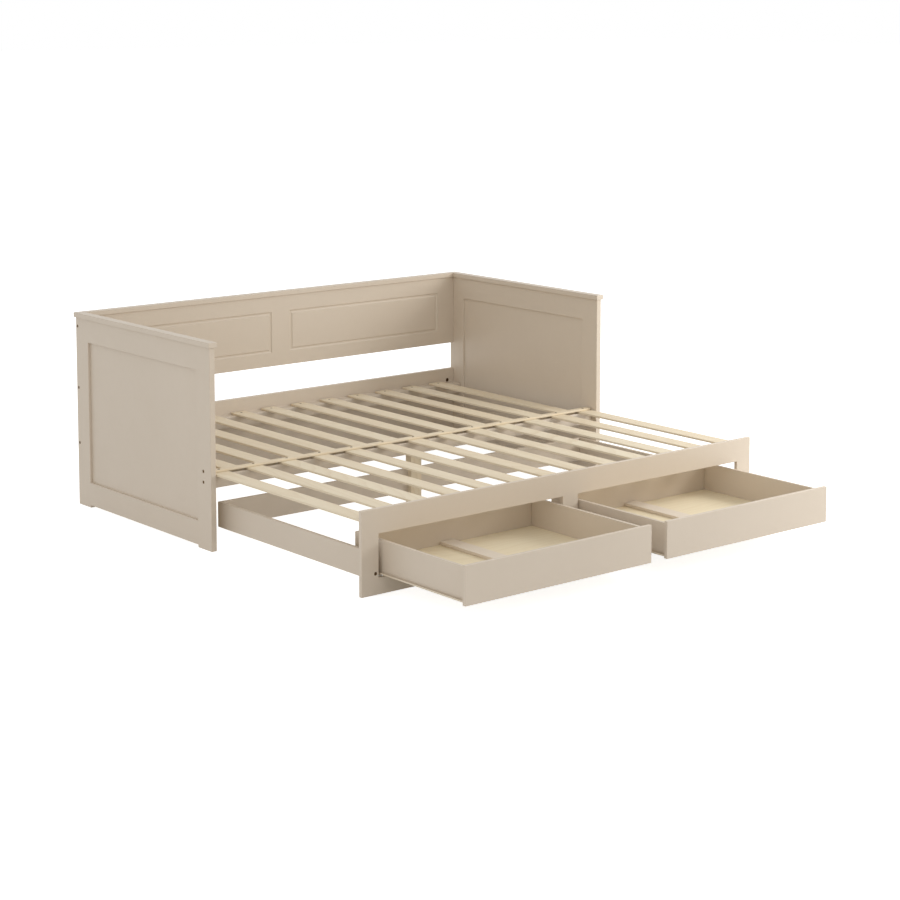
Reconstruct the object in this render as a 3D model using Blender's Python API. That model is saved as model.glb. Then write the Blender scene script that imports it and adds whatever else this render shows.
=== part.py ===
"""Daybed with a pull-out second bed and two drawers, shown pulled out and with both drawers open.

Places are written from the bed's own datum: x from the middle of the bed, y from the front edges of
the two ends towards the wall, z up from the floor. One empty carries the whole bed and puts the
model's origin on the floor under the middle of its open outline. All lengths are metres.
"""

import math

import bmesh
import bpy
from mathutils import Vector

# Fits
fit_gap = 0.0003
cut_overrun = 0.004

# The mattress decides the length between the two ends
mattress_length = 1.900
mattress_play = 0.010
inner_length = mattress_length + mattress_play

# Ends: a frame with a thin panel in a groove, and a cap board on top
end_depth = 0.973
end_height = 0.760
end_thickness = 0.023
frame_member_width = 0.092
foot_clearance = 0.010
panel_thickness = 0.007
panel_inner_recess = 0.006
panel_tongue = 0.008
cap_thickness = 0.020
cap_overhang = 0.0065

# Sunk holes for the bolts that hold the boards between the ends, drilled from the ends' outer faces
bolt_hole_diameter = 0.013
bolt_hole_depth = 0.006
rear_bolt_setback = 0.0134
rear_bolt_heights = (0.253, 0.4769, 0.7253)
front_bolt_setback = 0.0503
front_bolt_heights = (0.2539, 0.2948)

# Back: a panel with two routed rectangles, a cap board and, below an open gap, a board with a slat ledge
back_thickness = 0.020
back_gap_height = 0.1175
groove_nose_radius = 0.009
groove_depth = 0.004
groove_end_margin = 0.1015
groove_middle_gap = 0.107
groove_top_margin = 0.0737
groove_bottom_margin = 0.0655
lower_back_height = 0.299
lower_back_top = 0.341
nut_hole_diameter = 0.018
nut_hole_depth = 0.012
nut_hole_from_end = 0.035
nut_hole_height = 0.288

# Slats and what carries them
slat_level = 0.2786
slat_thickness = 0.008
slat_gap = 0.0071
slat_end_gap = 0.0048
moving_slat_count = 13
fixed_slat_count = moving_slat_count - 1
fixed_rail_section = 0.048
fixed_rail_setback = 0.026
fixed_slat_setback = 0.021
fixed_slat_rear_gap = 0.008
rear_ledge_depth = 0.052
rear_ledge_height = 0.045
slat_bearing = 0.0305
slat_rear_clear = 0.0215
lath_width = 0.028
lath_thickness = 0.008

# Pull-out front board with its two windows and its own slat ledge
front_board_thickness = 0.015
front_board_height = 0.299
front_board_floor_gap = 0.0185
front_board_end_play = 0.0033
front_board_proud = 0.006
window_side_stile = 0.073
window_middle_stile = 0.0735
window_top_rail = 0.088
window_bottom_rail = 0.059
front_ledge_depth = 0.016
front_ledge_height = 0.040
stile_hole_diameter = 0.013
stile_hole_depth = 0.005
stile_hole_from_edge = 0.0597
stile_hole_rise = 0.0745

# Low boards round the pull-out, and its middle leg
side_board_inset = 0.042
side_board_thickness = 0.015
side_board_height = 0.096
side_board_rise = 0.056
leg_width = 0.053
leg_depth = 0.035
leg_head_gap = 0.001

# Drawers
drawer_front_thickness = 0.015
drawer_front_side_play = 0.001
drawer_front_bottom_play = 0.002
finger_gap = 0.015
drawer_travel = 0.4575
drawer_box_depth = 0.600
drawer_wall = 0.012
drawer_side_drop = 0.0103
drawer_side_lift = 0.0075
drawer_outer_margin = 0.0175
drawer_inner_margin = 0.0109
drawer_bottom_thickness = 0.005
drawer_bottom_lift = 0.005
drawer_bottom_tongue = 0.005
drawer_batten_width = 0.063
drawer_batten_offset = 0.008
drawer_batten_thickness = 0.012

# Runner rails that carry the drawers
runner_space = 0.0125
runner_gap = 0.0009
runner_length = 0.500
runner_rail_height = 0.054

# Castors under the outer runner rails
wheel_diameter = 0.044
wheel_width = 0.014
wheel_tread_round = 0.0025
wheel_hub_diameter = 0.020
wheel_web_depth = 0.002
axle_diameter = 0.006
axle_play = 0.0003
castor_setback = 0.061
castor_plate_length = 0.044
castor_plate_width = 0.028
castor_plate_thickness = 0.002
castor_cheek_thickness = 0.0016
castor_cheek_length = 0.018
castor_cheek_play = 0.0006
castor_cheek_below_axle = 0.008

# Eased edges
board_round = 0.0015
slat_round = 0.0012
steel_round = 0.0004
round_steps = 2
wheel_steps = 24
hole_steps = 20
groove_steps = 12

# Levels and planes that several pieces share
half_inner = inner_length / 2
half_outer = half_inner + end_thickness
overall_height = end_height + cap_thickness
back_front_plane = end_depth - back_thickness
slat_count = moving_slat_count + fixed_slat_count
slat_width = (inner_length - 2 * slat_end_gap - (slat_count - 1) * slat_gap) / slat_count
slat_pitch = 2 * (slat_width + slat_gap)
slat_bottom = slat_level + fit_gap
slat_top = slat_bottom + slat_thickness
front_rail_bottom = slat_level - fixed_rail_section

# How far the pull-out comes out while its slats still bear on the fixed rail
moving_slat_rear = fixed_rail_setback + slat_bearing
bed_travel = back_front_plane - slat_rear_clear - moving_slat_rear
front_face = -front_board_proud - bed_travel
front_back = front_face + front_board_thickness
front_board_bottom = front_board_floor_gap
front_board_top = front_board_bottom + front_board_height
front_board_half = half_inner - front_board_end_play
window_outer = front_board_half - window_side_stile
window_inner = window_middle_stile / 2
window_bottom = front_board_bottom + window_bottom_rail
window_top = front_board_top - window_top_rail
side_board_outer = half_inner - side_board_inset
side_board_inner = side_board_outer - side_board_thickness
side_board_bottom = front_board_bottom + side_board_rise
side_board_top = side_board_bottom + side_board_height

# Drawer planes, with the drawers open
drawer_face = front_face - drawer_travel
drawer_box_front = drawer_face + drawer_front_thickness
drawer_box_rear = drawer_box_front + drawer_box_depth
drawer_front_bottom = window_bottom + drawer_front_bottom_play
drawer_front_top = window_top - finger_gap
drawer_side_bottom = drawer_front_bottom + drawer_side_lift
drawer_side_top = drawer_front_top - drawer_side_drop
drawer_box_outer = window_outer - drawer_outer_margin
drawer_box_inner = window_inner + drawer_inner_margin
runner_shelf_top = drawer_side_bottom - runner_gap

# The model's origin lies under the middle of the open outline
rear_most = end_depth + cap_overhang
origin_y = (drawer_face + rear_most) / 2


def clear_scene():
    for scene_object in list(bpy.data.objects):
        bpy.data.objects.remove(scene_object, do_unlink=True)


def make_material(name, colour, roughness, metallic=0.0):
    material = bpy.data.materials.new(name)
    material.use_nodes = True
    shader = material.node_tree.nodes["Principled BSDF"]
    shader.inputs["Base Color"].default_value = (*colour, 1.0)
    shader.inputs["Roughness"].default_value = roughness
    shader.inputs["Metallic"].default_value = metallic
    return material


def make_carrier(name, place, parent=None):
    """An empty at a place of the bed, which carries the pieces of one moving group."""
    empty = bpy.data.objects.new(name, None)
    bpy.context.collection.objects.link(empty)
    empty.parent = parent
    empty["place"] = place
    below = Vector(parent["place"]) if parent else Vector((0, origin_y, 0))
    empty.location = Vector(place) - below
    return empty


def place_mesh(name, mesh_builder, centre, carrier, material):
    """Turn a bmesh drawn round the piece's own centre into an object at that centre."""
    mesh = bpy.data.meshes.new(name)
    bmesh.ops.recalc_face_normals(mesh_builder, faces=mesh_builder.faces)
    mesh_builder.to_mesh(mesh)
    mesh_builder.free()
    piece = bpy.data.objects.new(name, mesh)
    bpy.context.collection.objects.link(piece)
    piece.parent = carrier
    piece.location = Vector(centre) - Vector(carrier["place"])
    if material:
        mesh.materials.append(material)
    return piece


def ease_edges(piece, width, steps=round_steps):
    bevel = piece.modifiers.new("eased edges", "BEVEL")
    bevel.width = width
    bevel.segments = steps
    bevel.limit_method = "ANGLE"
    bevel.use_clamp_overlap = True
    return piece


def combine(piece, other, operation):
    """Cut another solid out of the piece, or join it on; the other solid is only a guide."""
    modifier = piece.modifiers.new(other.name, "BOOLEAN")
    modifier.operation = operation
    modifier.solver = "EXACT"
    modifier.object = other
    other.hide_render = True
    other.display_type = "WIRE"
    return piece


def board(name, low, high, carrier, material=None):
    """A plain board between its lowest and its highest corner."""
    low = Vector(low)
    high = Vector(high)
    builder = bmesh.new()
    bmesh.ops.create_cube(builder, size=1)
    bmesh.ops.scale(builder, vec=high - low, verts=builder.verts)
    return place_mesh(name, builder, (low + high) / 2, carrier, material)


def plate(name, lines_across, lines_up, is_solid, thickness_low, thickness_high, across, carrier, material):
    """A board with openings: cells of a grid, kept where is_solid says, given their thickness.

    across is 0 where the grid runs along x and the thickness along y, and 1 the other way round.
    """
    through = 1 - across
    centre = Vector((0, 0, 0))
    centre[across] = (lines_across[0] + lines_across[-1]) / 2
    centre[through] = (thickness_low + thickness_high) / 2
    centre.z = (lines_up[0] + lines_up[-1]) / 2
    builder = bmesh.new()
    corners = {}

    def corner(column, row):
        if (column, row) not in corners:
            point = Vector((0, 0, lines_up[row]))
            point[across] = lines_across[column]
            point[through] = thickness_low
            corners[column, row] = builder.verts.new(point - centre)
        return corners[column, row]

    for column in range(len(lines_across) - 1):
        for row in range(len(lines_up) - 1):
            if is_solid(column, row):
                places = ((column, row), (column + 1, row), (column + 1, row + 1), (column, row + 1))
                builder.faces.new([corner(*where) for where in places])
    grown = bmesh.ops.extrude_face_region(builder, geom=list(builder.faces))
    moved = [item for item in grown["geom"] if isinstance(item, bmesh.types.BMVert)]
    shift = Vector((0, 0, 0))
    shift[through] = thickness_high - thickness_low
    bmesh.ops.translate(builder, vec=shift, verts=moved)
    return place_mesh(name, builder, centre, carrier, material)


def bar(name, outline, start, end, along, carrier, material=None):
    """A bar of constant section. The outline holds (u, z) corners; u runs along y for a bar along x."""
    other = 1 - along
    centre = Vector((0, 0, 0))
    centre[along] = (start + end) / 2
    centre[other] = sum(point[0] for point in outline) / len(outline)
    centre.z = sum(point[1] for point in outline) / len(outline)
    builder = bmesh.new()
    corners = []
    for u, z in outline:
        point = Vector((0, 0, z))
        point[other] = u
        point[along] = start
        corners.append(builder.verts.new(point - centre))
    builder.faces.new(corners)
    grown = bmesh.ops.extrude_face_region(builder, geom=list(builder.faces))
    moved = [item for item in grown["geom"] if isinstance(item, bmesh.types.BMVert)]
    shift = Vector((0, 0, 0))
    shift[along] = end - start
    bmesh.ops.translate(builder, vec=shift, verts=moved)
    return place_mesh(name, builder, centre, carrier, material)


def rod(name, centre, diameter, length, along, steps, carrier, material=None):
    """A round rod along x (0) or y (1)."""
    builder = bmesh.new()
    bmesh.ops.create_cone(
        builder, cap_ends=True, segments=steps, radius1=diameter / 2, radius2=diameter / 2, depth=length
    )
    turn = Vector((0, 0, 1)).rotation_difference(Vector((1 - along, along, 0))).to_matrix()
    bmesh.ops.rotate(builder, matrix=turn, verts=builder.verts)
    return place_mesh(name, builder, centre, carrier, material)


def build_end(side, name, carrier, paint):
    """One end: frame with feet, panel in the frame's groove, cap board. side is -1 left, 1 right."""
    inner_plane = side * half_inner
    outer_plane = side * half_outer
    panel_inner = inner_plane + side * panel_inner_recess
    panel_outer = panel_inner + side * panel_thickness
    lines_across = (0, frame_member_width, end_depth - frame_member_width, end_depth)
    lines_up = (
        0,
        foot_clearance,
        foot_clearance + frame_member_width,
        end_height - frame_member_width,
        end_height,
    )
    low_x, high_x = sorted((inner_plane, outer_plane))
    frame = plate(
        f"{name}_end_frame",
        lines_across,
        lines_up,
        lambda column, row: column != 1 or row in (1, 3),
        low_x,
        high_x,
        1,
        carrier,
        paint,
    )
    ease_edges(frame, board_round)
    panel_low_x, panel_high_x = sorted((panel_inner, panel_outer))
    panel_low = (panel_low_x, lines_across[1] - panel_tongue, lines_up[2] - panel_tongue)
    panel_high = (panel_high_x, lines_across[2] + panel_tongue, lines_up[3] + panel_tongue)
    room = Vector((fit_gap, fit_gap, fit_gap))
    groove = board(f"{name}_panel_groove", Vector(panel_low) - room, Vector(panel_high) + room, carrier)
    combine(frame, groove, "DIFFERENCE")
    board(f"{name}_end_panel", panel_low, panel_high, carrier, paint)
    bolt_places = [(end_depth - rear_bolt_setback, height) for height in rear_bolt_heights]
    bolt_places += [(front_bolt_setback, height) for height in front_bolt_heights]
    for number, (bolt_y, bolt_z) in enumerate(bolt_places):
        hole = rod(
            f"{name}_bolt_hole_{number + 1}",
            (outer_plane, bolt_y, bolt_z),
            bolt_hole_diameter,
            2 * bolt_hole_depth,
            0,
            hole_steps,
            carrier,
        )
        combine(frame, hole, "DIFFERENCE")
    cap_low_x, cap_high_x = sorted((inner_plane - side * cap_overhang, outer_plane + side * cap_overhang))
    cap = board(
        f"{name}_end_cap",
        (cap_low_x, -cap_overhang, end_height + fit_gap),
        (cap_high_x, end_depth + cap_overhang, overall_height),
        carrier,
        paint,
    )
    ease_edges(cap, board_round)


def routed_ring(name, low_x, high_x, low_z, high_z, face_y, carrier):
    """What a round-nosed bit clears from a board's front along the four sides of an upright rectangle."""
    reach = math.acos((groove_nose_radius - groove_depth - cut_overrun) / groove_nose_radius)
    centre = Vector(((low_x + high_x) / 2, face_y, (low_z + high_z) / 2))
    builder = bmesh.new()
    rings = []
    for step in range(groove_steps + 1):
        angle = reach * (2 * step / groove_steps - 1)
        inset = groove_nose_radius * math.sin(angle)
        y = face_y + groove_depth - groove_nose_radius * (1 - math.cos(angle))
        corners = (
            (low_x + inset, y, low_z + inset),
            (high_x - inset, y, low_z + inset),
            (high_x - inset, y, high_z - inset),
            (low_x + inset, y, high_z - inset),
        )
        rings.append([builder.verts.new(Vector(corner) - centre) for corner in corners])
    for step, ring in enumerate(rings):
        following = rings[(step + 1) % len(rings)]
        for index in range(len(ring)):
            after = (index + 1) % len(ring)
            builder.faces.new((ring[index], ring[after], following[after], following[index]))
    return place_mesh(name, builder, centre, carrier, None)


def build_back(carrier, paint):
    """Back panel with its two routed rectangles, the cap on it, and the lower back board with its ledge."""
    half = half_inner - fit_gap
    panel_bottom = lower_back_top + back_gap_height
    panel = board(
        "back_panel",
        (-half, back_front_plane, panel_bottom),
        (half, end_depth, end_height),
        carrier,
        paint,
    )
    ease_edges(panel, board_round)
    groove_low_z = panel_bottom + groove_bottom_margin
    groove_high_z = end_height - groove_top_margin
    for side, name in ((-1, "left"), (1, "right")):
        low_x, high_x = sorted((side * groove_middle_gap / 2, side * (half_inner - groove_end_margin)))
        cutter = routed_ring(
            f"back_groove_{name}",
            low_x,
            high_x,
            groove_low_z,
            groove_high_z,
            back_front_plane,
            carrier,
        )
        combine(panel, cutter, "DIFFERENCE")
    cap_half = half_inner - cap_overhang - fit_gap
    cap = board(
        "back_cap",
        (-cap_half, back_front_plane - cap_overhang, end_height + fit_gap),
        (cap_half, end_depth + cap_overhang, overall_height),
        carrier,
        paint,
    )
    ease_edges(cap, board_round)
    ledge_front = back_front_plane - rear_ledge_depth
    ledge_bottom = slat_level - rear_ledge_height
    lower_bottom = lower_back_top - lower_back_height
    outline = (
        (end_depth, lower_bottom),
        (end_depth, lower_back_top),
        (back_front_plane, lower_back_top),
        (back_front_plane, slat_level),
        (ledge_front, slat_level),
        (ledge_front, ledge_bottom),
        (back_front_plane, ledge_bottom),
        (back_front_plane, lower_bottom),
    )
    lower = bar("lower_back_board", outline, -half, half, 0, carrier, paint)
    ease_edges(lower, board_round)
    for side, name in ((-1, "left"), (1, "right")):
        hole = rod(
            f"nut_hole_{name}",
            (side * (half_inner - nut_hole_from_end), back_front_plane, nut_hole_height),
            nut_hole_diameter,
            2 * nut_hole_depth,
            1,
            hole_steps,
            carrier,
        )
        combine(lower, hole, "DIFFERENCE")


def build_fixed_slats(carrier, pine, paint):
    """The rail across the front of the fixed bed, and the slats that lie on it and on the rear ledge."""
    half = half_inner - fit_gap
    rail = board(
        "fixed_front_rail",
        (-half, fixed_rail_setback, front_rail_bottom),
        (half, fixed_rail_setback + fixed_rail_section, slat_level),
        carrier,
        paint,
    )
    ease_edges(rail, board_round)
    for number in range(fixed_slat_count):
        centre_x = (number - (fixed_slat_count - 1) / 2) * slat_pitch
        slat = board(
            f"fixed_slat_{number + 1:02d}",
            (centre_x - slat_width / 2, fixed_rail_setback + fixed_slat_setback, slat_bottom),
            (centre_x + slat_width / 2, back_front_plane - fixed_slat_rear_gap, slat_top),
            carrier,
            pine,
        )
        ease_edges(slat, slat_round, 1)


def build_moving_slats(carrier, pine):
    """The slats of the pull-out, and the lath that ties their rear ends and slides over the fixed ones."""
    for number in range(moving_slat_count):
        centre_x = (number - (moving_slat_count - 1) / 2) * slat_pitch
        slat = board(
            f"moving_slat_{number + 1:02d}",
            (centre_x - slat_width / 2, front_back + fit_gap, slat_bottom),
            (centre_x + slat_width / 2, moving_slat_rear, slat_top),
            carrier,
            pine,
        )
        ease_edges(slat, slat_round, 1)
    lath_half = (moving_slat_count - 1) / 2 * slat_pitch + slat_width / 2
    lath = board(
        "slat_tie_lath",
        (-lath_half, moving_slat_rear - lath_width, slat_top + fit_gap),
        (lath_half, moving_slat_rear, slat_top + fit_gap + lath_thickness),
        carrier,
        pine,
    )
    ease_edges(lath, slat_round, 1)


def build_front_board(carrier, paint):
    """The tall board on the front of the pull-out, with two windows and the ledge glued behind it."""
    lines_across = (
        -front_board_half,
        -window_outer,
        -window_inner,
        window_inner,
        window_outer,
        front_board_half,
    )
    lines_up = (front_board_bottom, window_bottom, window_top, front_board_top)
    front = plate(
        "front_board",
        lines_across,
        lines_up,
        lambda column, row: row != 1 or column in (0, 2, 4),
        front_face,
        front_back,
        0,
        carrier,
        paint,
    )
    ease_edges(front, board_round)
    ledge = board(
        "front_slat_ledge",
        (-front_board_half + front_ledge_depth, front_back - front_board_thickness / 2,
         slat_level - front_ledge_height),
        (front_board_half - front_ledge_depth, front_back + front_ledge_depth, slat_level),
        carrier,
    )
    combine(front, ledge, "UNION")
    hole_x = front_board_half - stile_hole_from_edge
    hole_z = front_board_bottom + stile_hole_rise
    for side, name in ((-1, "left"), (1, "right")):
        hole = rod(
            f"{name}_stile_hole",
            (side * hole_x, front_face, hole_z),
            stile_hole_diameter,
            2 * stile_hole_depth,
            1,
            hole_steps,
            carrier,
        )
        combine(front, hole, "DIFFERENCE")


def build_low_boards(carrier, paint, pine):
    """The low boards along both sides and the rear of the pull-out, and the notched middle leg."""
    for side, name in ((-1, "left"), (1, "right")):
        low_x, high_x = sorted((side * side_board_inner, side * side_board_outer))
        side_board = board(
            f"{name}_side_board",
            (low_x, front_back + fit_gap, side_board_bottom),
            (high_x, moving_slat_rear, side_board_top),
            carrier,
            paint,
        )
        ease_edges(side_board, board_round)
    rear_front_plane = moving_slat_rear - side_board_thickness
    rear_half = side_board_inner - fit_gap
    rear_board = board(
        "rear_board",
        (-rear_half, rear_front_plane, side_board_bottom),
        (rear_half, moving_slat_rear, side_board_top),
        carrier,
        paint,
    )
    ease_edges(rear_board, board_round)
    leg = board(
        "middle_leg",
        (-leg_width / 2, moving_slat_rear - leg_depth, 0),
        (leg_width / 2, moving_slat_rear, front_rail_bottom - leg_head_gap),
        carrier,
        pine,
    )
    ease_edges(leg, board_round)
    notch = board(
        "leg_notch",
        (-leg_width, rear_front_plane - fit_gap, side_board_bottom - fit_gap),
        (leg_width, moving_slat_rear + cut_overrun, side_board_top + fit_gap),
        carrier,
    )
    combine(leg, notch, "DIFFERENCE")


def build_runner_rails(carrier, pine):
    """The rails that the drawers run on: one behind each side board and one behind the middle stile."""
    rail_top = side_board_bottom + runner_rail_height
    start = front_back + fit_gap
    for side, name in ((-1, "left"), (1, "right")):
        outer = side * (side_board_inner - fit_gap)
        web = side * (drawer_box_outer + runner_space)
        shelf = side * (drawer_box_outer - drawer_wall)
        outline = (
            (outer, side_board_bottom),
            (shelf, side_board_bottom),
            (shelf, runner_shelf_top),
            (web, runner_shelf_top),
            (web, rail_top),
            (outer, rail_top),
        )
        rail = bar(f"{name}_runner_rail", outline, start, start + runner_length, 1, carrier, pine)
        ease_edges(rail, steel_round, 1)
    web = drawer_box_inner - runner_space
    shelf = drawer_box_inner + drawer_wall
    outline = (
        (-shelf, side_board_bottom),
        (shelf, side_board_bottom),
        (shelf, runner_shelf_top),
        (web, runner_shelf_top),
        (web, rail_top),
        (-web, rail_top),
        (-web, runner_shelf_top),
        (-shelf, runner_shelf_top),
    )
    rail = bar("middle_runner_rail", outline, start, start + runner_length, 1, carrier, pine)
    ease_edges(rail, steel_round, 1)


def build_castor(side, name, pull_out, steel, plastic):
    """A fixed castor under an outer runner rail: a plate with two cheeks and an axle, and its wheel."""
    axle = Vector((
        side * (drawer_box_outer + runner_space / 2 - drawer_wall / 2),
        front_face + castor_setback,
        wheel_diameter / 2,
    ))
    plate_top = side_board_bottom - fit_gap
    plate_bottom = plate_top - castor_plate_thickness
    cheek_inner = wheel_width / 2 + castor_cheek_play
    cheek_outer = cheek_inner + castor_cheek_thickness
    bracket = board(
        f"{name}_castor_bracket",
        axle + Vector((-castor_plate_width / 2, -castor_plate_length / 2, plate_bottom - axle.z)),
        axle + Vector((castor_plate_width / 2, castor_plate_length / 2, plate_top - axle.z)),
        pull_out,
        steel,
    )
    cheek_bottom = axle.z - castor_cheek_below_axle
    cheek_sink = castor_plate_thickness / 2
    for hand, cheek_name in ((-1, "outer"), (1, "inner")):
        low_x, high_x = sorted((axle.x + hand * cheek_inner, axle.x + hand * cheek_outer))
        cheek = board(
            f"{name}_castor_cheek_{cheek_name}",
            (low_x, axle.y - castor_cheek_length / 2, cheek_bottom),
            (high_x, axle.y + castor_cheek_length / 2, plate_bottom + cheek_sink),
            pull_out,
        )
        combine(bracket, cheek, "UNION")
    pin_length = cheek_inner + cheek_outer
    pin = rod(f"{name}_castor_pin", axle, axle_diameter, pin_length, 0, hole_steps, pull_out)
    combine(bracket, pin, "UNION")
    wheel_carrier = make_carrier(f"{name}_castor", axle, pull_out)
    build_wheel(f"{name}_castor_wheel", axle, wheel_carrier, plastic)


def build_wheel(name, axle, carrier, plastic):
    """A wheel turned about x: bore, hub, shallow web and rounded tread."""
    bore = axle_diameter / 2 + axle_play
    hub = wheel_hub_diameter / 2
    tread = wheel_diameter / 2
    half = wheel_width / 2
    web = half - wheel_web_depth
    rim = tread - 2 * wheel_tread_round
    side_profile = (
        (bore, half),
        (hub, half),
        (hub + wheel_web_depth, web),
        (rim - wheel_web_depth, web),
        (rim, half),
        (tread - wheel_tread_round, half),
        (tread, half - wheel_tread_round),
    )
    profile = list(side_profile) + [(radius, -x) for radius, x in reversed(side_profile)]
    builder = bmesh.new()
    rings = []
    for step in range(wheel_steps):
        angle = 2 * math.pi * step / wheel_steps - math.pi / 2
        ring = [
            builder.verts.new((x, radius * math.cos(angle), radius * math.sin(angle)))
            for radius, x in profile
        ]
        rings.append(ring)
    for step, ring in enumerate(rings):
        following = rings[(step + 1) % wheel_steps]
        for index in range(len(profile)):
            after = (index + 1) % len(profile)
            builder.faces.new((ring[index], ring[after], following[after], following[index]))
    wheel = place_mesh(name, builder, axle, carrier, plastic)
    wheel.data.shade_smooth()
    wheel.data.set_sharp_from_angle(angle=math.radians(35))


def build_drawer(side, name, carrier, paint, plywood):
    """One open drawer: a front that sits in the window, and a box on runners with a stiffened bottom."""
    front_low_x, front_high_x = sorted((
        side * (window_outer - drawer_front_side_play),
        side * (window_inner + drawer_front_side_play),
    ))
    front = board(
        f"{name}_drawer_front",
        (front_low_x, drawer_face, drawer_front_bottom),
        (front_high_x, drawer_box_front, drawer_front_top),
        carrier,
        paint,
    )
    ease_edges(front, board_round)
    box_low_x, box_high_x = sorted((side * drawer_box_outer, side * drawer_box_inner))
    box_start = drawer_box_front + fit_gap
    left_wall = board(
        f"{name}_drawer_left_side",
        (box_low_x, box_start, drawer_side_bottom),
        (box_low_x + drawer_wall, drawer_box_rear, drawer_side_top),
        carrier,
        paint,
    )
    right_wall = board(
        f"{name}_drawer_right_side",
        (box_high_x - drawer_wall, box_start, drawer_side_bottom),
        (box_high_x, drawer_box_rear, drawer_side_top),
        carrier,
        paint,
    )
    inside_low_x = box_low_x + drawer_wall
    inside_high_x = box_high_x - drawer_wall
    back_front = drawer_box_rear - drawer_wall
    back = board(
        f"{name}_drawer_back",
        (inside_low_x + fit_gap, back_front, drawer_side_bottom),
        (inside_high_x - fit_gap, drawer_box_rear, drawer_side_top),
        carrier,
        paint,
    )
    bottom_low = Vector((
        inside_low_x - drawer_bottom_tongue,
        drawer_box_front - drawer_bottom_tongue,
        drawer_side_bottom + drawer_bottom_lift,
    ))
    bottom_high = Vector((
        inside_high_x + drawer_bottom_tongue,
        back_front + drawer_bottom_tongue,
        drawer_side_bottom + drawer_bottom_lift + drawer_bottom_thickness,
    ))
    board(f"{name}_drawer_bottom", bottom_low, bottom_high, carrier, plywood)
    room = Vector((fit_gap, fit_gap, fit_gap))
    groove = board(f"{name}_drawer_groove", bottom_low - room, bottom_high + room, carrier)
    for wall in (left_wall, right_wall, back):
        ease_edges(wall, board_round)
    for wall in (front, left_wall, right_wall, back):
        combine(wall, groove, "DIFFERENCE")
    batten_x = (box_low_x + box_high_x) / 2 - drawer_batten_offset
    batten = board(
        f"{name}_drawer_batten",
        (batten_x - drawer_batten_width / 2, box_start, bottom_high.z + fit_gap),
        (
            batten_x + drawer_batten_width / 2,
            back_front - fit_gap,
            bottom_high.z + fit_gap + drawer_batten_thickness,
        ),
        carrier,
        paint,
    )
    ease_edges(batten, board_round)


def build_daybed():
    clear_scene()
    paint = make_material("cashmere_lacquer", (0.52, 0.43, 0.34), 0.45)
    pine = make_material("pine", (0.72, 0.55, 0.34), 0.55)
    plywood = make_material("plywood", (0.74, 0.60, 0.40), 0.55)
    steel = make_material("zinc_plated_steel", (0.60, 0.60, 0.60), 0.35, 1.0)
    plastic = make_material("castor_plastic", (0.08, 0.08, 0.08), 0.45)

    bed = make_carrier("daybed", (0, 0, 0))
    build_end(-1, "left", bed, paint)
    build_end(1, "right", bed, paint)
    build_back(bed, paint)
    build_fixed_slats(bed, pine, paint)

    pull_out = make_carrier("pull_out", (0, front_face, slat_level), bed)
    build_front_board(pull_out, paint)
    build_low_boards(pull_out, paint, pine)
    build_moving_slats(pull_out, pine)
    build_runner_rails(pull_out, pine)
    for side, name in ((-1, "left"), (1, "right")):
        build_castor(side, name, pull_out, steel, plastic)
        drawer_middle = side * (drawer_box_outer + drawer_box_inner) / 2
        drawer = make_carrier(f"{name}_drawer", (drawer_middle, drawer_face, drawer_side_bottom), pull_out)
        build_drawer(side, name, drawer, paint, plywood)


build_daybed()
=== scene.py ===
"""Looks of the storage daybed: lacquered boards, pine slats, plywood drawer bottoms and their fittings.

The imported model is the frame. Most of its pieces stay and get their finish here. The runner rails are
replaced by a pine batten with a folded steel runner and its nylon roller. All lengths are metres.
"""

import math

import bmesh
import bpy
from mathutils import Matrix, Vector


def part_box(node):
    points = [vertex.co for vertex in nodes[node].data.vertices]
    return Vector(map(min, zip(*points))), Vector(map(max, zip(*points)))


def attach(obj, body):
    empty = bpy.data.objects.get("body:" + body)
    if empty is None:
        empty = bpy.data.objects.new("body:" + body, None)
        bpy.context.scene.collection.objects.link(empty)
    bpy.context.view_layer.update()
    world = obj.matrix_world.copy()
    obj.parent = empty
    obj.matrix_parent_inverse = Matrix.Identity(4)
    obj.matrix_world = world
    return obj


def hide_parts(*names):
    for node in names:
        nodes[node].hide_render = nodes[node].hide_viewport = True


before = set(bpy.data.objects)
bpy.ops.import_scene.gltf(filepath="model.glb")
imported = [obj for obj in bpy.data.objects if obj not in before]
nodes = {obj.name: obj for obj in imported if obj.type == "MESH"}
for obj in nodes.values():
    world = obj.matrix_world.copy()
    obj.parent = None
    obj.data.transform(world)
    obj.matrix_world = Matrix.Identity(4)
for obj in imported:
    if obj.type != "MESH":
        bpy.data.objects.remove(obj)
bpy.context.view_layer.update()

# Studio. White paper floor and an even white surround, as for a catalogue picture, with a soft lamp
# close to the bed's right front corner, so that the light falls off towards the left along the fronts,
# and a weak one on the left for the drawers' sides.
scene = bpy.context.scene
scene.view_settings.view_transform = "Standard"

camera_lens = bpy.data.cameras.new("photo_camera")
camera_lens.lens = 85.411
camera_lens.sensor_width = 36
camera_lens.shift_y = -0.235
camera_lens.clip_end = 1000
camera = bpy.data.objects.new("photo_camera", camera_lens)
camera.location = (-5.1624, -6.3103, 2.0494)
camera.rotation_euler = (math.radians(83.4043), 0, math.radians(-39.3291))
scene.collection.objects.link(camera)
scene.camera = camera

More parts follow.
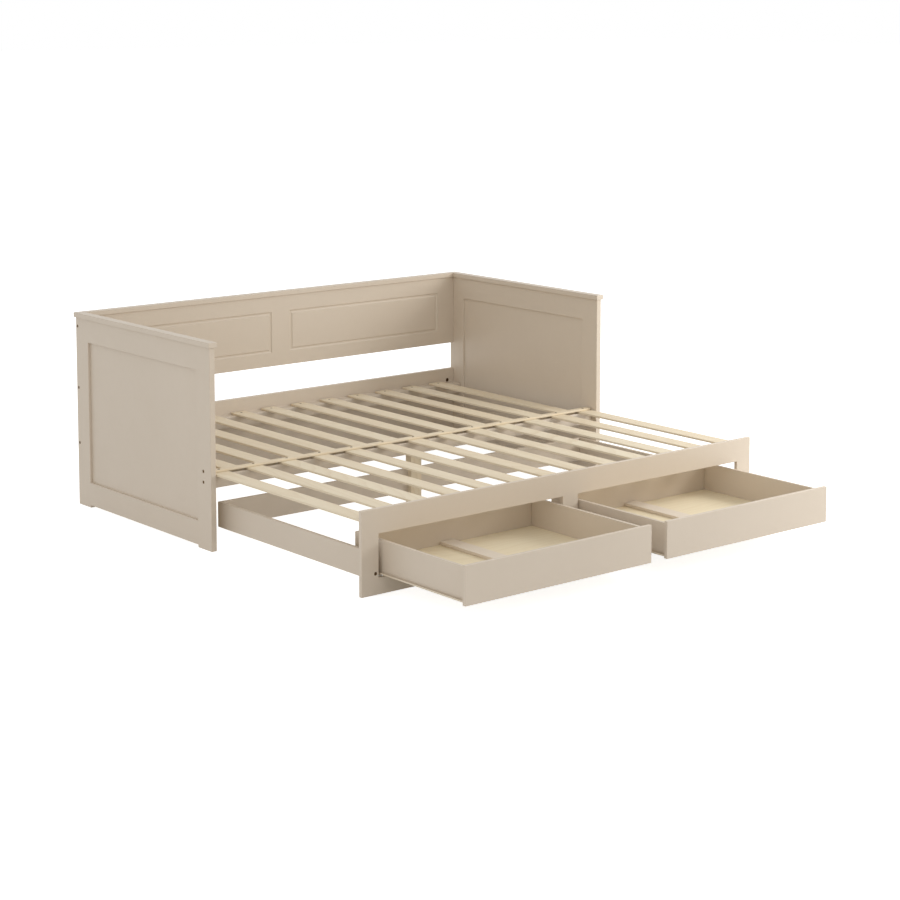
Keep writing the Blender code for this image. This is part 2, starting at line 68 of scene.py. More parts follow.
for name, place, size, watts in (
    ("soft_lamp", (2.4, -1.8, 1.6), 1.2, 45),
    ("side_lamp", (-3.0, -1.6, 1.0), 1.5, 5.5),
):
    lamp_data = bpy.data.lights.new(name, "AREA")
    lamp_data.shape = "SQUARE"
    lamp_data.size = size
    lamp_data.energy = watts
    lamp = bpy.data.objects.new(name, lamp_data)
    lamp.location = place
    lamp.visible_camera = False
    lamp.rotation_euler = (Vector((0, 0, 0.2)) - lamp.location).to_track_quat("-Z", "Y").to_euler()
    scene.collection.objects.link(lamp)

surround = bpy.data.worlds.new("white_surround")
scene.world = surround
surround.use_nodes = True
surround_nodes = surround.node_tree.nodes
surround_links = surround.node_tree.links
surround_nodes.clear()
seen = surround_nodes.new("ShaderNodeBackground")
seen.inputs["Color"].default_value = (1, 1, 1, 1)
seen.inputs["Strength"].default_value = 1
lighting = surround_nodes.new("ShaderNodeBackground")
lighting.inputs["Color"].default_value = (1, 1, 1, 1)
lighting.inputs["Strength"].default_value = 0.765


def seeing_rays(tree):
    """1 for rays from the camera, also by way of a reflection or through glass, and 0 for light."""
    ray = tree.nodes.new("ShaderNodeLightPath")
    share = ray.outputs["Is Camera Ray"]
    for kind in ("Is Glossy Ray", "Is Transmission Ray"):
        either = tree.nodes.new("ShaderNodeMath")
        either.operation = "MAXIMUM"
        tree.links.new(share, either.inputs[0])
        tree.links.new(ray.outputs[kind], either.inputs[1])
        share = either.outputs[0]
    return share


surround_choice = surround_nodes.new("ShaderNodeMixShader")
surround_links.new(seeing_rays(surround.node_tree), surround_choice.inputs[0])
surround_links.new(lighting.outputs[0], surround_choice.inputs[1])
surround_links.new(seen.outputs[0], surround_choice.inputs[2])
surround_output = surround_nodes.new("ShaderNodeOutputWorld")
surround_links.new(surround_choice.outputs[0], surround_output.inputs[0])

paper = bpy.data.materials.new("white_paper")
paper.use_nodes = True
paper_nodes = paper.node_tree.nodes
paper_links = paper.node_tree.links
paper_nodes.clear()
matt = paper_nodes.new("ShaderNodeBsdfDiffuse")
matt.inputs["Color"].default_value = (0.8, 0.8, 0.8, 1)
glow = paper_nodes.new("ShaderNodeEmission")
glow.inputs["Strength"].default_value = 0.82
lit_paper = paper_nodes.new("ShaderNodeAddShader")
paper_links.new(matt.outputs[0], lit_paper.inputs[0])
paper_links.new(glow.outputs[0], lit_paper.inputs[1])
paper_choice = paper_nodes.new("ShaderNodeMixShader")
paper_links.new(seeing_rays(paper.node_tree), paper_choice.inputs[0])
paper_links.new(matt.outputs[0], paper_choice.inputs[1])
paper_links.new(lit_paper.outputs[0], paper_choice.inputs[2])
paper_output = paper_nodes.new("ShaderNodeOutputMaterial")
paper_links.new(paper_choice.outputs[0], paper_output.inputs["Surface"])

floor_mesh = bpy.data.meshes.new("studio_floor")
floor_half = 60
floor_level = -0.0002
floor_mesh.from_pydata(
    [(x * floor_half, y * floor_half, floor_level) for x, y in ((-1, -1), (1, -1), (1, 1), (-1, 1))],
    [],
    [(0, 1, 2, 3)],
)
floor_mesh.materials.append(paper)
floor = bpy.data.objects.new("studio_floor", floor_mesh)
scene.collection.objects.link(floor)


# Ends. Two framed boards with a thin panel in a groove and a cap on top, sprayed after assembly in a
# warm grey-beige satin lacquer. Every other painted board of the bed has the same lacquer, but for the
# drawers' battens, whose paler copy of it is painted light on their upward faces.
class Wire:
    """A node's output in a material. Arithmetic on it adds Math nodes."""

    def __init__(self, socket):
        self.socket = socket

    def plug(self, kind, settings, sockets, output=0):
        """A new node with these settings, then these values or wires in its sockets; gives one output."""
        tree = self.socket.id_data
        node = tree.nodes.new(kind)
        for name, value in settings.items():
            if name == "stops":
                stops = node.color_ramp.elements
                while len(stops) < len(value):
                    stops.new(1)
                for stop, (place, grey) in zip(stops, value):
                    stop.position = place
                    stop.color = (grey, grey, grey, 1)
            else:
                setattr(node, name, value)
        for name, value in sockets.items():
            if isinstance(value, Wire):
                tree.links.new(value.socket, node.inputs[name])
            else:
                node.inputs[name].default_value = value
        return Wire(node.outputs[output])

    def beside(self, output):
        """Another output of the same node."""
        return Wire(self.socket.node.outputs[output])

    def maths(self, operation, first, second=0.0):
        return self.plug("ShaderNodeMath", {"operation": operation}, {0: first, 1: second})

    def __add__(self, other):
        return self.maths("ADD", self, other)

    def __radd__(self, other):
        return self.maths("ADD", other, self)

    def __sub__(self, other):
        return self.maths("SUBTRACT", self, other)

    def __rsub__(self, other):
        return self.maths("SUBTRACT", other, self)

    def __mul__(self, other):
        return self.maths("MULTIPLY", self, other)

    def __rmul__(self, other):
        return self.maths("MULTIPLY", other, self)

    def __truediv__(self, other):
        return self.maths("DIVIDE", self, other)

    def __rtruediv__(self, other):
        return self.maths("DIVIDE", other, self)


def screen_colour(red, green, blue):
    """A colour as it shows on screen, 0 to 255, as the linear colour that a shader takes."""
    linear = []
    for channel in (red, green, blue):
        share = channel / 255
        linear.append(share / 12.92 if share <= 0.04045 else ((share + 0.055) / 1.055) ** 2.4)
    return (*linear, 1)


def start_material(name):
    """A new material, its shader's sockets, and the place on the object as a wire."""
    material = bpy.data.materials.new(name)
    material.use_nodes = True
    tree = material.node_tree
    place = Wire(tree.nodes.new("ShaderNodeTexCoord").outputs["Object"])
    return material, tree.nodes["Principled BSDF"].inputs, place


def feed(wire, socket):
    """The wire led into a shader's socket."""
    wire.socket.id_data.links.new(wire.socket, socket)


def mix_colours(share, first, second):
    """The first colour where share is 0 and the second where it is 1."""
    return share.plug("ShaderNodeMix", {"data_type": "RGBA"}, {0: share, 6: first, 7: second}, 2)


def cloud(place, scale, detail, stretch=(1, 1, 1)):
    """Soft noise from 0 to 1, stretched along the axes where stretch is small."""
    drawn = place.plug("ShaderNodeMapping", {}, {"Vector": place, "Scale": stretch})
    return place.plug("ShaderNodeTexNoise", {}, {"Vector": drawn, "Scale": scale, "Detail": detail})


def make_lacquer(name, darker, paler):
    """Sprayed satin lacquer with a faint cloudiness between two tones."""
    material, shader, place = start_material(name)
    tone = cloud(place, scale=2.1, detail=3)
    mottle = cloud(place, scale=34, detail=3)
    blotch = tone * 0.7 + mottle * 0.3
    feed(mix_colours(blotch, darker, paler), shader["Base Color"])
    feed(cloud(place, scale=9, detail=4) * 0.16 + 0.34, shader["Roughness"])
    peel = cloud(place, scale=420, detail=2) * 0.7 + cloud(place, scale=60, detail=2) * 0.5
    bump = place.plug("ShaderNodeBump", {}, {"Strength": 0.16, "Distance": 0.0005, "Height": peel})
    feed(bump, shader["Normal"])
    shader["Specular IOR Level"].default_value = 0.42
    return material


def finish_nodes(material, *names):
    """One material on these nodes' meshes, in place of the plain one."""
    for name in names:
        mesh = nodes[name].data
        mesh.materials.clear()
        mesh.materials.append(material)


lacquer = make_lacquer("cashmere_lacquer_satin", screen_colour(206, 192, 173), screen_colour(214, 200, 182))
finish_nodes(lacquer, "left_end_frame", "left_end_panel", "left_end_cap")
finish_nodes(lacquer, "right_end_frame", "right_end_panel", "right_end_cap")

# Back. A panel with two routed rectangles and a cap, and below an open gap a lower board with a slat
# ledge. Both are bolted between the ends and lacquered like them.
finish_nodes(lacquer, "back_panel", "back_cap", "lower_back_board")


# Fixed slats. Planed pine strips, unpainted, on a lacquered front rail and on the rear ledge. Each is
# sawn from another place in the log, so its growth rings have their own centre, slope and tint.
def make_pine(name, along, across, through, spacing):
    """Sawn pine with its grain along one axis, 0 for x to 2 for z; boards lie spacing apart."""
    material, shader, place = start_material(name)
    axes = place.plug("ShaderNodeSeparateXYZ", {}, {"Vector": place})
    length = axes.beside(along)
    width = axes.beside(across)
    depth = axes.beside(through)
    board = place.maths("FLOOR", width / spacing + 0.5)
    chance = place.plug("ShaderNodeTexWhiteNoise", {"noise_dimensions": "1D"}, {"W": board + 0.31}, 1)
    first = place.plug("ShaderNodeSeparateColor", {}, {"Color": chance})
    second = first.beside(1)
    third = first.beside(2)
    grain_slope = 0.11
    heart_aside = 0.11
    heart_depth = 0.035
    heart_depth_spread = 0.075
    slope = (second - 0.5) * grain_slope
    aside = width - board * spacing - (first - 0.5) * heart_aside + length * slope * 0.35
    below = depth + heart_depth + third * heart_depth_spread + length * slope
    stretch = [14, 14, 14]
    stretch[along] = 0.9
    shifted = place.plug("ShaderNodeCombineXYZ", {}, {0: board * 3.7, 1: board * 1.3, 2: 0.0})
    own_place = place.plug("ShaderNodeVectorMath", {"operation": "ADD"}, {0: place, 1: shifted})
    wander = cloud(own_place, scale=1, detail=2, stretch=stretch) - 0.5
    ring_wander = 0.011
    ring_width = 0.0047
    from_heart = place.maths("SQRT", aside * aside + below * below) + wander * ring_wander
    ring = place.maths("FRACT", from_heart / ring_width + third * 9)
    late = place.plug(
        "ShaderNodeValToRGB",
        {"stops": ((0, 0.02), (0.45, 0.12), (0.78, 0.62), (0.92, 1), (1, 0.05))},
        {"Fac": ring},
    )
    stretch = [900, 900, 900]
    stretch[along] = 7
    fibre = cloud(own_place, scale=1, detail=3, stretch=stretch)
    stretch = [300, 300, 300]
    stretch[along] = 14
    duct = place.plug(
        "ShaderNodeValToRGB",
        {"stops": ((0, 0), (0.70, 0), (0.78, 1), (1, 1))},
        {"Fac": cloud(own_place, scale=1, detail=1, stretch=stretch)},
    )
    early = mix_colours(second, screen_colour(231, 218, 192), screen_colour(227, 211, 183))
    wood = mix_colours(late * 0.34 + (fibre - 0.5) * 0.22, early, screen_colour(208, 185, 149))
    wood = mix_colours(duct * 0.28, wood, screen_colour(190, 160, 118))
    feed(wood, shader["Base Color"])
    feed(0.56 - late * 0.10 + (fibre - 0.5) * 0.12, shader["Roughness"])
    height = fibre * 0.6 + late * 0.4
    bump = place.plug("ShaderNodeBump", {}, {"Strength": 0.22, "Distance": 0.0004, "Height": height})
    feed(bump, shader["Normal"])
    shader["Specular IOR Level"].default_value = 0.35
    return material


slat_names = sorted(name for name in nodes if name.startswith(("fixed_slat_", "moving_slat_")))
beside_middle_low, beside_middle_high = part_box("fixed_slat_07")
slat_spacing = abs((beside_middle_low.x + beside_middle_high.x) / 2)
slat_pine = make_pine("slat_pine", along=1, across=0, through=2, spacing=slat_spacing)
finish_nodes(slat_pine, *slat_names)
finish_nodes(lacquer, "fixed_front_rail")

# Pull-out. A tall front board with two windows, low boards round the other sides and a middle leg of
# raw pine, all lacquered but the leg. It rolls on two castors behind the front board.
finish_nodes(lacquer, "front_board", "left_side_board", "right_side_board", "rear_board")
leg_pine = make_pine("leg_pine", along=2, across=0, through=1, spacing=0.3)
finish_nodes(leg_pine, "middle_leg")

# Tie lath. A thin pine lath across the rear ends of the pull-out's slats, one screw in each slat. It
# slides over the fixed slats and keeps the moving ones in step.
lath_pine = make_pine("lath_pine", along=0, across=1, through=2, spacing=0.3)
finish_nodes(lath_pine, "slat_tie_lath")


# Screws and bolts. Flat cross-head screws in the lath, others flush with the rear end of each fixed
# slat, so that the lath can slide over them, and socket bolts that nearly fill their holes in the ends'
# outer faces. All are steel in a dark bronze colour, partly their bronzed finish and partly painted shade
# of the countersinks and holes they sit in.
def make_steel(name, colour, roughness):
    material, shader, place = start_material(name)
    spangle = cloud(place, scale=300, detail=3)
    feed(mix_colours(spangle, [c * 0.86 for c in colour[:3]] + [1], colour), shader["Base Color"])
    feed(cloud(place, scale=900, detail=2) * 0.2 + (roughness - 0.1), shader["Roughness"])
    scratch = cloud(place, scale=1500, detail=2, stretch=(1, 0.05, 1))
    bump = place.plug("ShaderNodeBump", {}, {"Strength": 0.1, "Distance": 0.0001, "Height": scratch})
    feed(bump, shader["Normal"])
    shader["Metallic"].default_value = 1
    return material


def make_head_tree(name, recess):
    """Fastener heads on points: a low cone with a cross or hexagon sunk in it, each turned by chance."""
    tree = bpy.data.node_groups.new(name, "GeometryNodeTree")
    face = tree.interface
    face.new_socket("Places", in_out="INPUT", socket_type="NodeSocketGeometry")
    for label, value in (
        ("Head diameter", 0.008),
        ("Top share", 0.86),
        ("Head height", 0.0008),
        ("Recess width", 0.0045),
        ("Recess depth", 0.0006),
    ):
        face.new_socket(label, in_out="INPUT", socket_type="NodeSocketFloat").default_value = value
    face.new_socket("Facing", in_out="INPUT", socket_type="NodeSocketVector")
    face.new_socket("Finish", in_out="INPUT", socket_type="NodeSocketMaterial")
    face.new_socket("Heads", in_out="OUTPUT", socket_type="NodeSocketGeometry")
    build = tree.nodes.new
    link = tree.links.new
    given = build("NodeGroupInput").outputs

    def number(operation, first, second):
        node = build("ShaderNodeMath")
        node.operation = operation
        for socket, value in zip(node.inputs, (first, second)):
            if isinstance(value, float):
                socket.default_value = value
            else:
                link(value, socket)
        return node.outputs[0]

    radius = number("MULTIPLY", given["Head diameter"], 0.5)
    head = build("GeometryNodeMeshCone")
    head.inputs["Vertices"].default_value = 24
    link(number("MULTIPLY", radius, given["Top share"]), head.inputs["Radius Top"])
    link(radius, head.inputs["Radius Bottom"])
    link(given["Head height"], head.inputs["Depth"])
    cut_height = number("MULTIPLY", given["Recess depth"], 2.0)
    cut = build("GeometryNodeMeshBoolean")
    cut.operation = "DIFFERENCE"
    cut.solver = "EXACT"
    link(head.outputs["Mesh"], cut.inputs[0])
    cutters = []
    if recess == "cross":
        narrow = number("MULTIPLY", given["Recess width"], 0.26)
        for first, second in ((given["Recess width"], narrow), (narrow, given["Recess width"])):
            size = build("ShaderNodeCombineXYZ")
            link(first, size.inputs[0])
            link(second, size.inputs[1])
            link(cut_height, size.inputs[2])
            bar = build("GeometryNodeMeshCube")
            link(size.outputs[0], bar.inputs["Size"])
            cutters.append(bar.outputs["Mesh"])
    else:
        hexagon = build("GeometryNodeMeshCylinder")
        hexagon.inputs["Vertices"].default_value = 6
        link(number("MULTIPLY", given["Recess width"], 0.5), hexagon.inputs["Radius"])
        link(cut_height, hexagon.inputs["Depth"])
        cutters.append(hexagon.outputs["Mesh"])
    lift = build("ShaderNodeCombineXYZ")
    link(given["Head height"], lift.inputs[2])
    for cutter in cutters:
        raised = build("GeometryNodeTransform")
        link(cutter, raised.inputs["Geometry"])
        link(lift.outputs[0], raised.inputs["Translation"])
        link(raised.outputs["Geometry"], cut.inputs[1])
    placed = build("GeometryNodeInstanceOnPoints")
    link(given["Places"], placed.inputs["Points"])
    link(cut.outputs["Mesh"], placed.inputs["Instance"])
    link(given["Facing"], placed.inputs["Rotation"])
    chance = build("FunctionNodeRandomValue")
    chance.data_type = "FLOAT"
    chance.inputs[2].default_value = 0
    chance.inputs[3].default_value = math.tau
    chance.inputs["Seed"].default_value = 7
    spin = build("ShaderNodeCombineXYZ")
    link(chance.outputs[1], spin.inputs[2])
    turned = build("GeometryNodeRotateInstances")
    link(placed.outputs["Instances"], turned.inputs["Instances"])
    link(spin.outputs[0], turned.inputs["Rotation"])
    real = build("GeometryNodeRealizeInstances")
    link(turned.outputs["Instances"], real.inputs["Geometry"])
    coat = build("GeometryNodeSetMaterial")
    link(real.outputs["Geometry"], coat.inputs["Geometry"])
    link(given["Finish"], coat.inputs["Material"])
    link(coat.outputs["Geometry"], build("NodeGroupOutput").inputs["Heads"])
    return tree


def add_heads(name, tree, places, facing, sizes, finish, body):
    """One mesh of fastener heads, riding on one body. sizes names the tree's inputs."""
    points = bpy.data.meshes.new(name + "_places")
    points.from_pydata([tuple(place) for place in places], [], [])
    guide = bpy.data.objects.new(name + "_places", points)
    scene.collection.objects.link(guide)
    modifier = guide.modifiers.new("heads", "NODES")
    modifier.node_group = tree
    values = {**sizes, "Facing": facing, "Finish": finish}
    for item in tree.interface.items_tree:
        if item.item_type == "SOCKET" and item.in_out == "INPUT" and item.name in values:
            modifier[item.identifier] = values[item.name]
    graph = bpy.context.evaluated_depsgraph_get()
    mesh = bpy.data.meshes.new_from_object(guide.evaluated_get(graph), depsgraph=graph)
    mesh.name = name
    bpy.data.objects.remove(guide)
    piece = bpy.data.objects.new(name, mesh)
    scene.collection.objects.link(piece)
    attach(piece, body)
    return piece


# Dark bronze colour: partly the bronzed finish, partly painted shade of the countersinks and holes.
bronze_with_shade = make_steel("bronze_steel_painted_shade", (0.20, 0.135, 0.07, 1), 0.45)
cross_heads = make_head_tree("cross_heads", "cross")
socket_heads = make_head_tree("socket_heads", "hexagon")
facing_up = (0, 0, 0)
facing_left = (0, math.radians(-90), 0)
facing_right = (0, math.radians(90), 0)
facing_front = (math.radians(90), 0, 0)
slat_screw = {
    "Head diameter": 0.0102,
    "Head height": 0.0009,
    "Recess width": 0.0054,
    "Recess depth": 0.0006,
}
flush_screw = {**slat_screw, "Head height": 0.00025, "Recess depth": 0.0002}
lath_low, lath_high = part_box("slat_tie_lath")
lath_middle = (lath_low.y + lath_high.y) / 2
slat_screw_setback = 0.026
lath_places = []
slat_places = []
for name in slat_names:
    low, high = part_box(name)
    middle = (low.x + high.x) / 2
    if name.startswith("moving"):
        lath_places.append((middle, lath_middle, lath_high.z))
    else:
        slat_places.append((middle, high.y - slat_screw_setback, high.z))
add_heads("lath_screws", cross_heads, lath_places, facing_up, slat_screw, bronze_with_shade, "pull_out")
add_heads("slat_screws", cross_heads, slat_places, facing_up, flush_screw, bronze_with_shade, "bed_frame")

end_bolt = {
    "Head diameter": 0.0138,
    "Head height": 0.0048,
    "Top share": 0.93,
    "Recess width": 0.0062,
    "Recess depth": 0.0026,
}
bolt_hole_depth = 0.006
rear_bolt_setback = 0.0134
rear_bolt_heights = (0.253, 0.4769, 0.7253)
front_bolt_setback = 0.0503
front_bolt_heights = (0.2539, 0.2948)
for side, facing, name in ((-1, facing_left, "left"), (1, facing_right, "right")):
    low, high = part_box(name + "_end_frame")
    outer = low.x if side < 0 else high.x
    bolt_floor = outer - side * bolt_hole_depth
    bolt_places = [(bolt_floor, high.y - rear_bolt_setback, height) for height in rear_bolt_heights]
    bolt_places += [(bolt_floor, low.y + front_bolt_setback, height) for height in front_bolt_heights]
    add_heads(
        name + "_end_bolts", socket_heads, bolt_places, facing, end_bolt, bronze_with_shade, "bed_frame"
    )

# Barrel nuts. The lower back board's bolts end in a barrel nut, which nearly fills a round hole near
# each end. The front board's outer stiles have a smaller hole with a screw in it. Nuts and screws are a
# very dark bronze, which is painted shade: it stands for the shade deep in their holes.
# Very dark bronze: painted shade of the deep holes, laid on the nut and screw faces.
deep_hole_shade_bronze = make_steel("deep_hole_shade_steel", (0.11, 0.066, 0.03, 1), 0.5)
board_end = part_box("lower_back_board")[1].x
nut_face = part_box("back_panel")[0].y
nut_hole_depth = 0.012
nut_from_end = 0.0347
nut_height = 0.288
barrel_nut = {
    "Head diameter": 0.0176,
    "Head height": 0.0098,
    "Top share": 0.97,
    "Recess width": 0.009,
    "Recess depth": 0.0025,
}
nut_places = [
    (side * (board_end - nut_from_end), nut_face + nut_hole_depth, nut_height) for side in (-1, 1)
]
add_heads(
    "barrel_nuts", cross_heads, nut_places, facing_front, barrel_nut, deep_hole_shade_bronze, "bed_frame"
)

front_low, front_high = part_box("front_board")
stile_hole_depth = 0.005
stile_hole_from_edge = 0.0597
stile_hole_rise = 0.0745
stile_screw = {
    "Head diameter": 0.0129,
    "Head height": 0.0042,
    "Top share": 0.96,
    "Recess width": 0.0064,
    "Recess depth": 0.0015,
}
stile_x = front_high.x - stile_hole_from_edge
stile_places = [
    (side * stile_x, front_low.y + stile_hole_depth, front_low.z + stile_hole_rise) for side in (-1, 1)
]
add_heads(
    "stile_screws", cross_heads, stile_places, facing_front, stile_screw, deep_hole_shade_bronze, "pull_out"
)


# Drawers. Lacquered fronts, sides and backs round a thin plywood bottom, which a lacquered batten
# stiffens from the front to the back. The batten's lacquer is a paler copy of the others, painted light
# on its upward face.
def make_plywood():
    material, shader, place = start_material("birch_plywood")
    axes = place.plug("ShaderNodeSeparateXYZ", {}, {"Vector": place})
    figure_sweep = 0.22
    figure_spacing = 0.036
    sweep = cloud(place, scale=1, detail=2, stretch=(1.6, 5.5, 5.5)) - 0.5
    figure = place.maths("FRACT", (axes.beside(1) + sweep * figure_sweep) / figure_spacing)
    band = place.plug(
        "ShaderNodeValToRGB", {"stops": ((0, 0.05), (0.5, 0.25), (0.85, 1), (1, 0.05))}, {"Fac": figure}
    )
    fibre = cloud(place, scale=1, detail=3, stretch=(9, 520, 520))
    patch = cloud(place, scale=1, detail=3, stretch=(2.2, 6, 6))
    sheet = mix_colours(patch, screen_colour(230, 215, 183), screen_colour(237, 225, 196))
    sheet = mix_colours(band * 0.16 + (fibre - 0.5) * 0.2, sheet, screen_colour(212, 188, 148))
    feed(sheet, shader["Base Color"])
    feed(0.5 + fibre * 0.14, shader["Roughness"])
    bump = place.plug("ShaderNodeBump", {}, {"Strength": 0.15, "Distance": 0.0003, "Height": fibre})
    feed(bump, shader["Normal"])
    shader["Specular IOR Level"].default_value = 0.35
    return material


plywood = make_plywood()
# A paler copy of the lacquer: painted light on the battens' upward faces.
batten_painted_light_lacquer = make_lacquer("batten_painted_light_lacquer", screen_colour(222, 209, 191), screen_colour(229, 217, 200))
for name in ("left", "right"):
    finish_nodes(plywood, name + "_drawer_bottom")
    finish_nodes(batten_painted_light_lacquer, name + "_drawer_batten")
    for board in ("front", "left_side", "right_side", "back"):
        finish_nodes(lacquer, f"{name}_drawer_{board}")

# Castors. A zinc-plated fork screwed under each outer runner rail, behind the front board, with a
# riveted axle and a wheel of grey plastic with a darker tread.
zinc = make_steel("bright_zinc", (0.62, 0.61, 0.58, 1), 0.36)
finish_nodes(zinc, "left_castor_bracket", "right_castor_bracket")


def make_wheel_plastic():
    material, shader, place = start_material("castor_plastic_two_tone")
    low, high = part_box("left_castor_wheel")
    axle = (low + high) / 2
    axes = place.plug("ShaderNodeSeparateXYZ", {}, {"Vector": place})
    forward = axes.beside(1) - axle.y
    up = axes.beside(2) - axle.z
    wheel_radius = 0.022
    radius = place.maths("SQRT", forward * forward + up * up)
    tread = place.plug(
        "ShaderNodeValToRGB",
        {"stops": ((0, 0), (0.76, 0), (0.79, 1), (1, 1))},
        {"Fac": radius / wheel_radius},
    )
    feed(mix_colours(tread, screen_colour(120, 118, 114), screen_colour(52, 51, 50)), shader["Base Color"])
    scuff = cloud(place, scale=260, detail=3)
    feed(tread * 0.25 + 0.35 + scuff * 0.12, shader["Roughness"])
    bump = place.plug("ShaderNodeBump", {}, {"Strength": 0.2, "Distance": 0.0003, "Height": scuff})
    feed(bump, shader["Normal"])
    return material


finish_nodes(make_wheel_plastic(), "left_castor_wheel", "right_castor_wheel")


# Runner rails. Each is a planed pine batten screwed behind the front board, with a folded steel runner
# on its face and a nylon roller under the drawer's side at the runner's mouth. The drawer's own runner
# is folded under its side, with a low outer lip, and has the second roller at its rear end.
def make_enamel():
    material, shader, place = start_material("cream_enamel")
    tone = cloud(place, scale=40, detail=3)
    cream = mix_colours(tone, screen_colour(213, 198, 175), screen_colour(222, 208, 185))
    feed(cream, shader["Base Color"])
    feed(cloud(place, scale=200, detail=2) * 0.12 + 0.3, shader["Roughness"])
    orange_peel = cloud(place, scale=700, detail=2)
    bump = place.plug("ShaderNodeBump", {}, {"Strength": 0.1, "Distance": 0.0003, "Height": orange_peel})
    feed(bump, shader["Normal"])
    return material


def make_nylon():
    material, shader, place = start_material("white_nylon")
    tone = cloud(place, scale=150, detail=2)
    white = mix_colours(tone, screen_colour(248, 242, 230), screen_colour(252, 247, 237))
    feed(white, shader["Base Color"])
    feed(tone * 0.1 + 0.3, shader["Roughness"])
    grain = cloud(place, scale=900, detail=2)
    bump = place.plug("ShaderNodeBump", {}, {"Strength": 0.1, "Distance": 0.0002, "Height": grain})
    feed(bump, shader["Normal"])
    return material


def keep_mesh(name, piece, body, replaced=()):
    """The piece's modifiers made part of its mesh, its faces turned outwards, on its body."""
    graph = bpy.context.evaluated_depsgraph_get()
    mesh = bpy.data.meshes.new_from_object(piece.evaluated_get(graph), depsgraph=graph)
    bpy.data.objects.remove(piece)
    mesh.name = name
    builder = bmesh.new()
    builder.from_mesh(mesh)
    bmesh.ops.remove_doubles(builder, verts=builder.verts, dist=0.00001)
    bmesh.ops.recalc_face_normals(builder, faces=builder.faces)
    builder.to_mesh(mesh)
    builder.free()
    kept = bpy.data.objects.new(name, mesh)
    scene.collection.objects.link(kept)
    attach(kept, body)
    if replaced:
        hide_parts(*replaced)
    return kept


def eased_board(name, low, high, material, body, replaced=()):
    """A planed batten with softly rounded edges."""
    builder = bmesh.new()
    bmesh.ops.create_cube(builder, size=1)
    middle = (Vector(low) + Vector(high)) / 2
    for corner in builder.verts:
        corner.co = middle + Vector([c * (h - l) for c, l, h in zip(corner.co, low, high)])
    mesh = bpy.data.meshes.new(name)
    builder.to_mesh(mesh)
    builder.free()
    mesh.materials.append(material)
    batten = bpy.data.objects.new(name, mesh)
    scene.collection.objects.link(batten)
    bevel = batten.modifiers.new("eased", "BEVEL")
    bevel.width = 0.0016
    bevel.segments = 3
    return keep_mesh(name, batten, body, replaced)


def folded_runner(name, face_x, outward, section, start, end, material, body):
    """Sheet steel folded along a section of (distance out from the drawer side, height) corners."""
    mesh = bpy.data.meshes.new(name)
    corners = []
    for y in (start, end):
        corners += [(face_x + outward * out, y, z) for out, z in section]
    count = len(section)
    mesh.from_pydata(corners, [], [(i, i + 1, count + i + 1, count + i) for i in range(count - 1)])
    mesh.materials.append(material)
    runner = bpy.data.objects.new(name, mesh)
    scene.collection.objects.link(runner)
    fold = runner.modifiers.new("folds", "BEVEL")
    fold.width = 0.0011
    fold.segments = 3
    fold.limit_method = "ANGLE"
    wall = runner.modifiers.new("wall", "SOLIDIFY")
    wall.thickness = 0.001
    wall.offset = 0
    return keep_mesh(name, runner, body)


def turned_piece(name, centre, axis_sign, profile, material, body, steps=32):
    """A roller or an axle spun about x from (distance along the axis, radius) corners."""
    mesh = bpy.data.meshes.new(name)
    corners = []
    for step in range(steps):
        angle = math.tau * step / steps
        for along, radius in profile:
            offset = Vector((axis_sign * along, radius * math.cos(angle), radius * math.sin(angle)))
            corners.append(centre + offset)
    count = len(profile)
    faces = []
    for step in range(steps):
        after = (step + 1) % steps
        for i in range(count):
            j = (i + 1) % count
            if profile[i][1] or profile[j][1]:
                faces.append((step * count + i, step * count + j, after * count + j, after * count + i))
    mesh.from_pydata(corners, [], faces)
    mesh.materials.append(material)
    roller = bpy.data.objects.new(name, mesh)
    scene.collection.objects.link(roller)
    return keep_mesh(name, roller, body)


enamel = make_enamel()
nylon = make_nylon()
batten_pine = make_pine("batten_pine", along=1, across=0, through=2, spacing=0.45)
rail_section = ((0.004, 0.0751), (0.012, 0.0751), (0.012, 0.1061), (0.004, 0.1061))
drawer_section = ((-0.011, 0.0865), (0.0085, 0.0865), (0.0085, 0.0925))
rear_roller_profile = (
    (0.002, 0.0021),
    (0.002, 0.0068),
    (0.0032, 0.008),
    (0.0068, 0.008),
    (0.008, 0.0068),
    (0.008, 0.0021),
)
front_roller_profile = (
    (-0.0102, 0.0021),
    (-0.0102, 0.0068),
    (-0.009, 0.008),
    (-0.0022, 0.008),
    (-0.001, 0.0068),
    (-0.001, 0.0021),
)
rail_axle_profile = (
    (-0.0108, 0),
    (-0.0108, 0.003),
    (-0.0102, 0.003),
    (-0.0102, 0.002),
    (0.0116, 0.002),
    (0.0116, 0),
)
drawer_axle_profile = (
    (0.0008, 0),
    (0.0008, 0.002),
    (0.008, 0.002),
    (0.008, 0.003),
    (0.0086, 0.003),
    (0.0086, 0),
)
runner_length = 0.5
drawer_runner_setback = 0.002
drawer_runner_length = runner_length - 0.024
front_roller_height = 0.0777
rear_roller_height = 0.0838
front_roller_setback = 0.0105
rear_roller_setback = 0.0135
runner_gap = 0.0125
rail_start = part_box("left_runner_rail")[0].y
runner_screw_height = 0.0915
runner_screw_places = (0.05, 0.25, 0.45)
runner_screw_out = 0.0115
runner_screw = {
    "Head diameter": 0.0065,
    "Head height": 0.0006,
    "Recess width": 0.0038,
    "Recess depth": 0.0005,
}
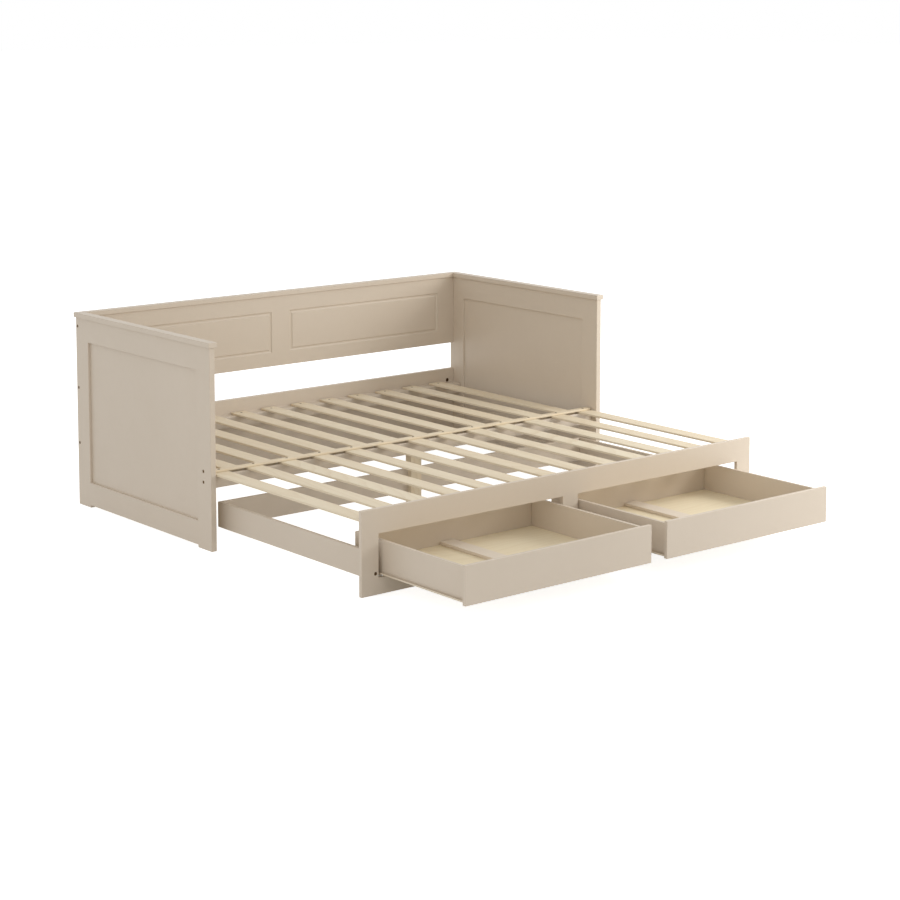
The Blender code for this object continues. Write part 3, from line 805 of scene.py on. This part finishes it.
for side, name in ((-1, "left"), (1, "right")):
    rail_low, rail_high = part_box(name + "_runner_rail")
    left_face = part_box(name + "_drawer_left_side")[0].x
    right_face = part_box(name + "_drawer_right_side")[1].x
    faces_x = {-1: left_face, 1: right_face}
    outer_face = faces_x[side] + side * runner_gap
    board_face = rail_low.x if side < 0 else rail_high.x
    low_x, high_x = sorted((outer_face, board_face))
    eased_board(
        name + "_runner_batten",
        (low_x, rail_low.y, rail_low.z),
        (high_x, rail_high.y, rail_high.z),
        batten_pine,
        "pull_out",
        [name + "_runner_rail"],
    )
    drawer_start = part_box(name + "_drawer_front")[1].y + drawer_runner_setback
    for outward, place in ((side, "outer"), (-side, "inner")):
        face_x = faces_x[outward]
        folded_runner(
            f"{name}_{place}_rail_runner",
            face_x,
            outward,
            rail_section,
            rail_start,
            rail_start + runner_length,
            enamel,
            "pull_out",
        )
        folded_runner(
            f"{name}_{place}_drawer_runner",
            face_x,
            outward,
            drawer_section,
            drawer_start,
            drawer_start + drawer_runner_length,
            enamel,
            name + "_drawer",
        )
        front_place = Vector((face_x, rail_start + front_roller_setback, front_roller_height))
        rear_y = drawer_start + runner_length - rear_roller_setback
        rear_place = Vector((face_x, rear_y, rear_roller_height))
        for end, centre, roller_profile, axle_profile, body in (
            ("front", front_place, front_roller_profile, rail_axle_profile, "pull_out"),
            ("rear", rear_place, rear_roller_profile, drawer_axle_profile, name + "_drawer"),
        ):
            label = f"{name}_{place}_{end}"
            turned_piece(label + "_roller", centre, outward, roller_profile, nylon, body)
            turned_piece(label + "_axle", centre, outward, axle_profile, zinc, body)
        facing = facing_right if outward < 0 else facing_left
        screw_x = face_x + outward * runner_screw_out
        screw_places = [(screw_x, rail_start + along, runner_screw_height) for along in runner_screw_places]
        label = f"{name}_{place}_runner_screws"
        add_heads(label, cross_heads, screw_places, facing, runner_screw, zinc, "pull_out")
middle_low, middle_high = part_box("middle_runner_rail")
inner_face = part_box("right_drawer_left_side")[0].x - runner_gap
eased_board(
    "middle_runner_batten",
    (-inner_face, middle_low.y, middle_low.z),
    (inner_face, middle_high.y, middle_high.z),
    batten_pine,
    "pull_out",
    ["middle_runner_rail"],
)
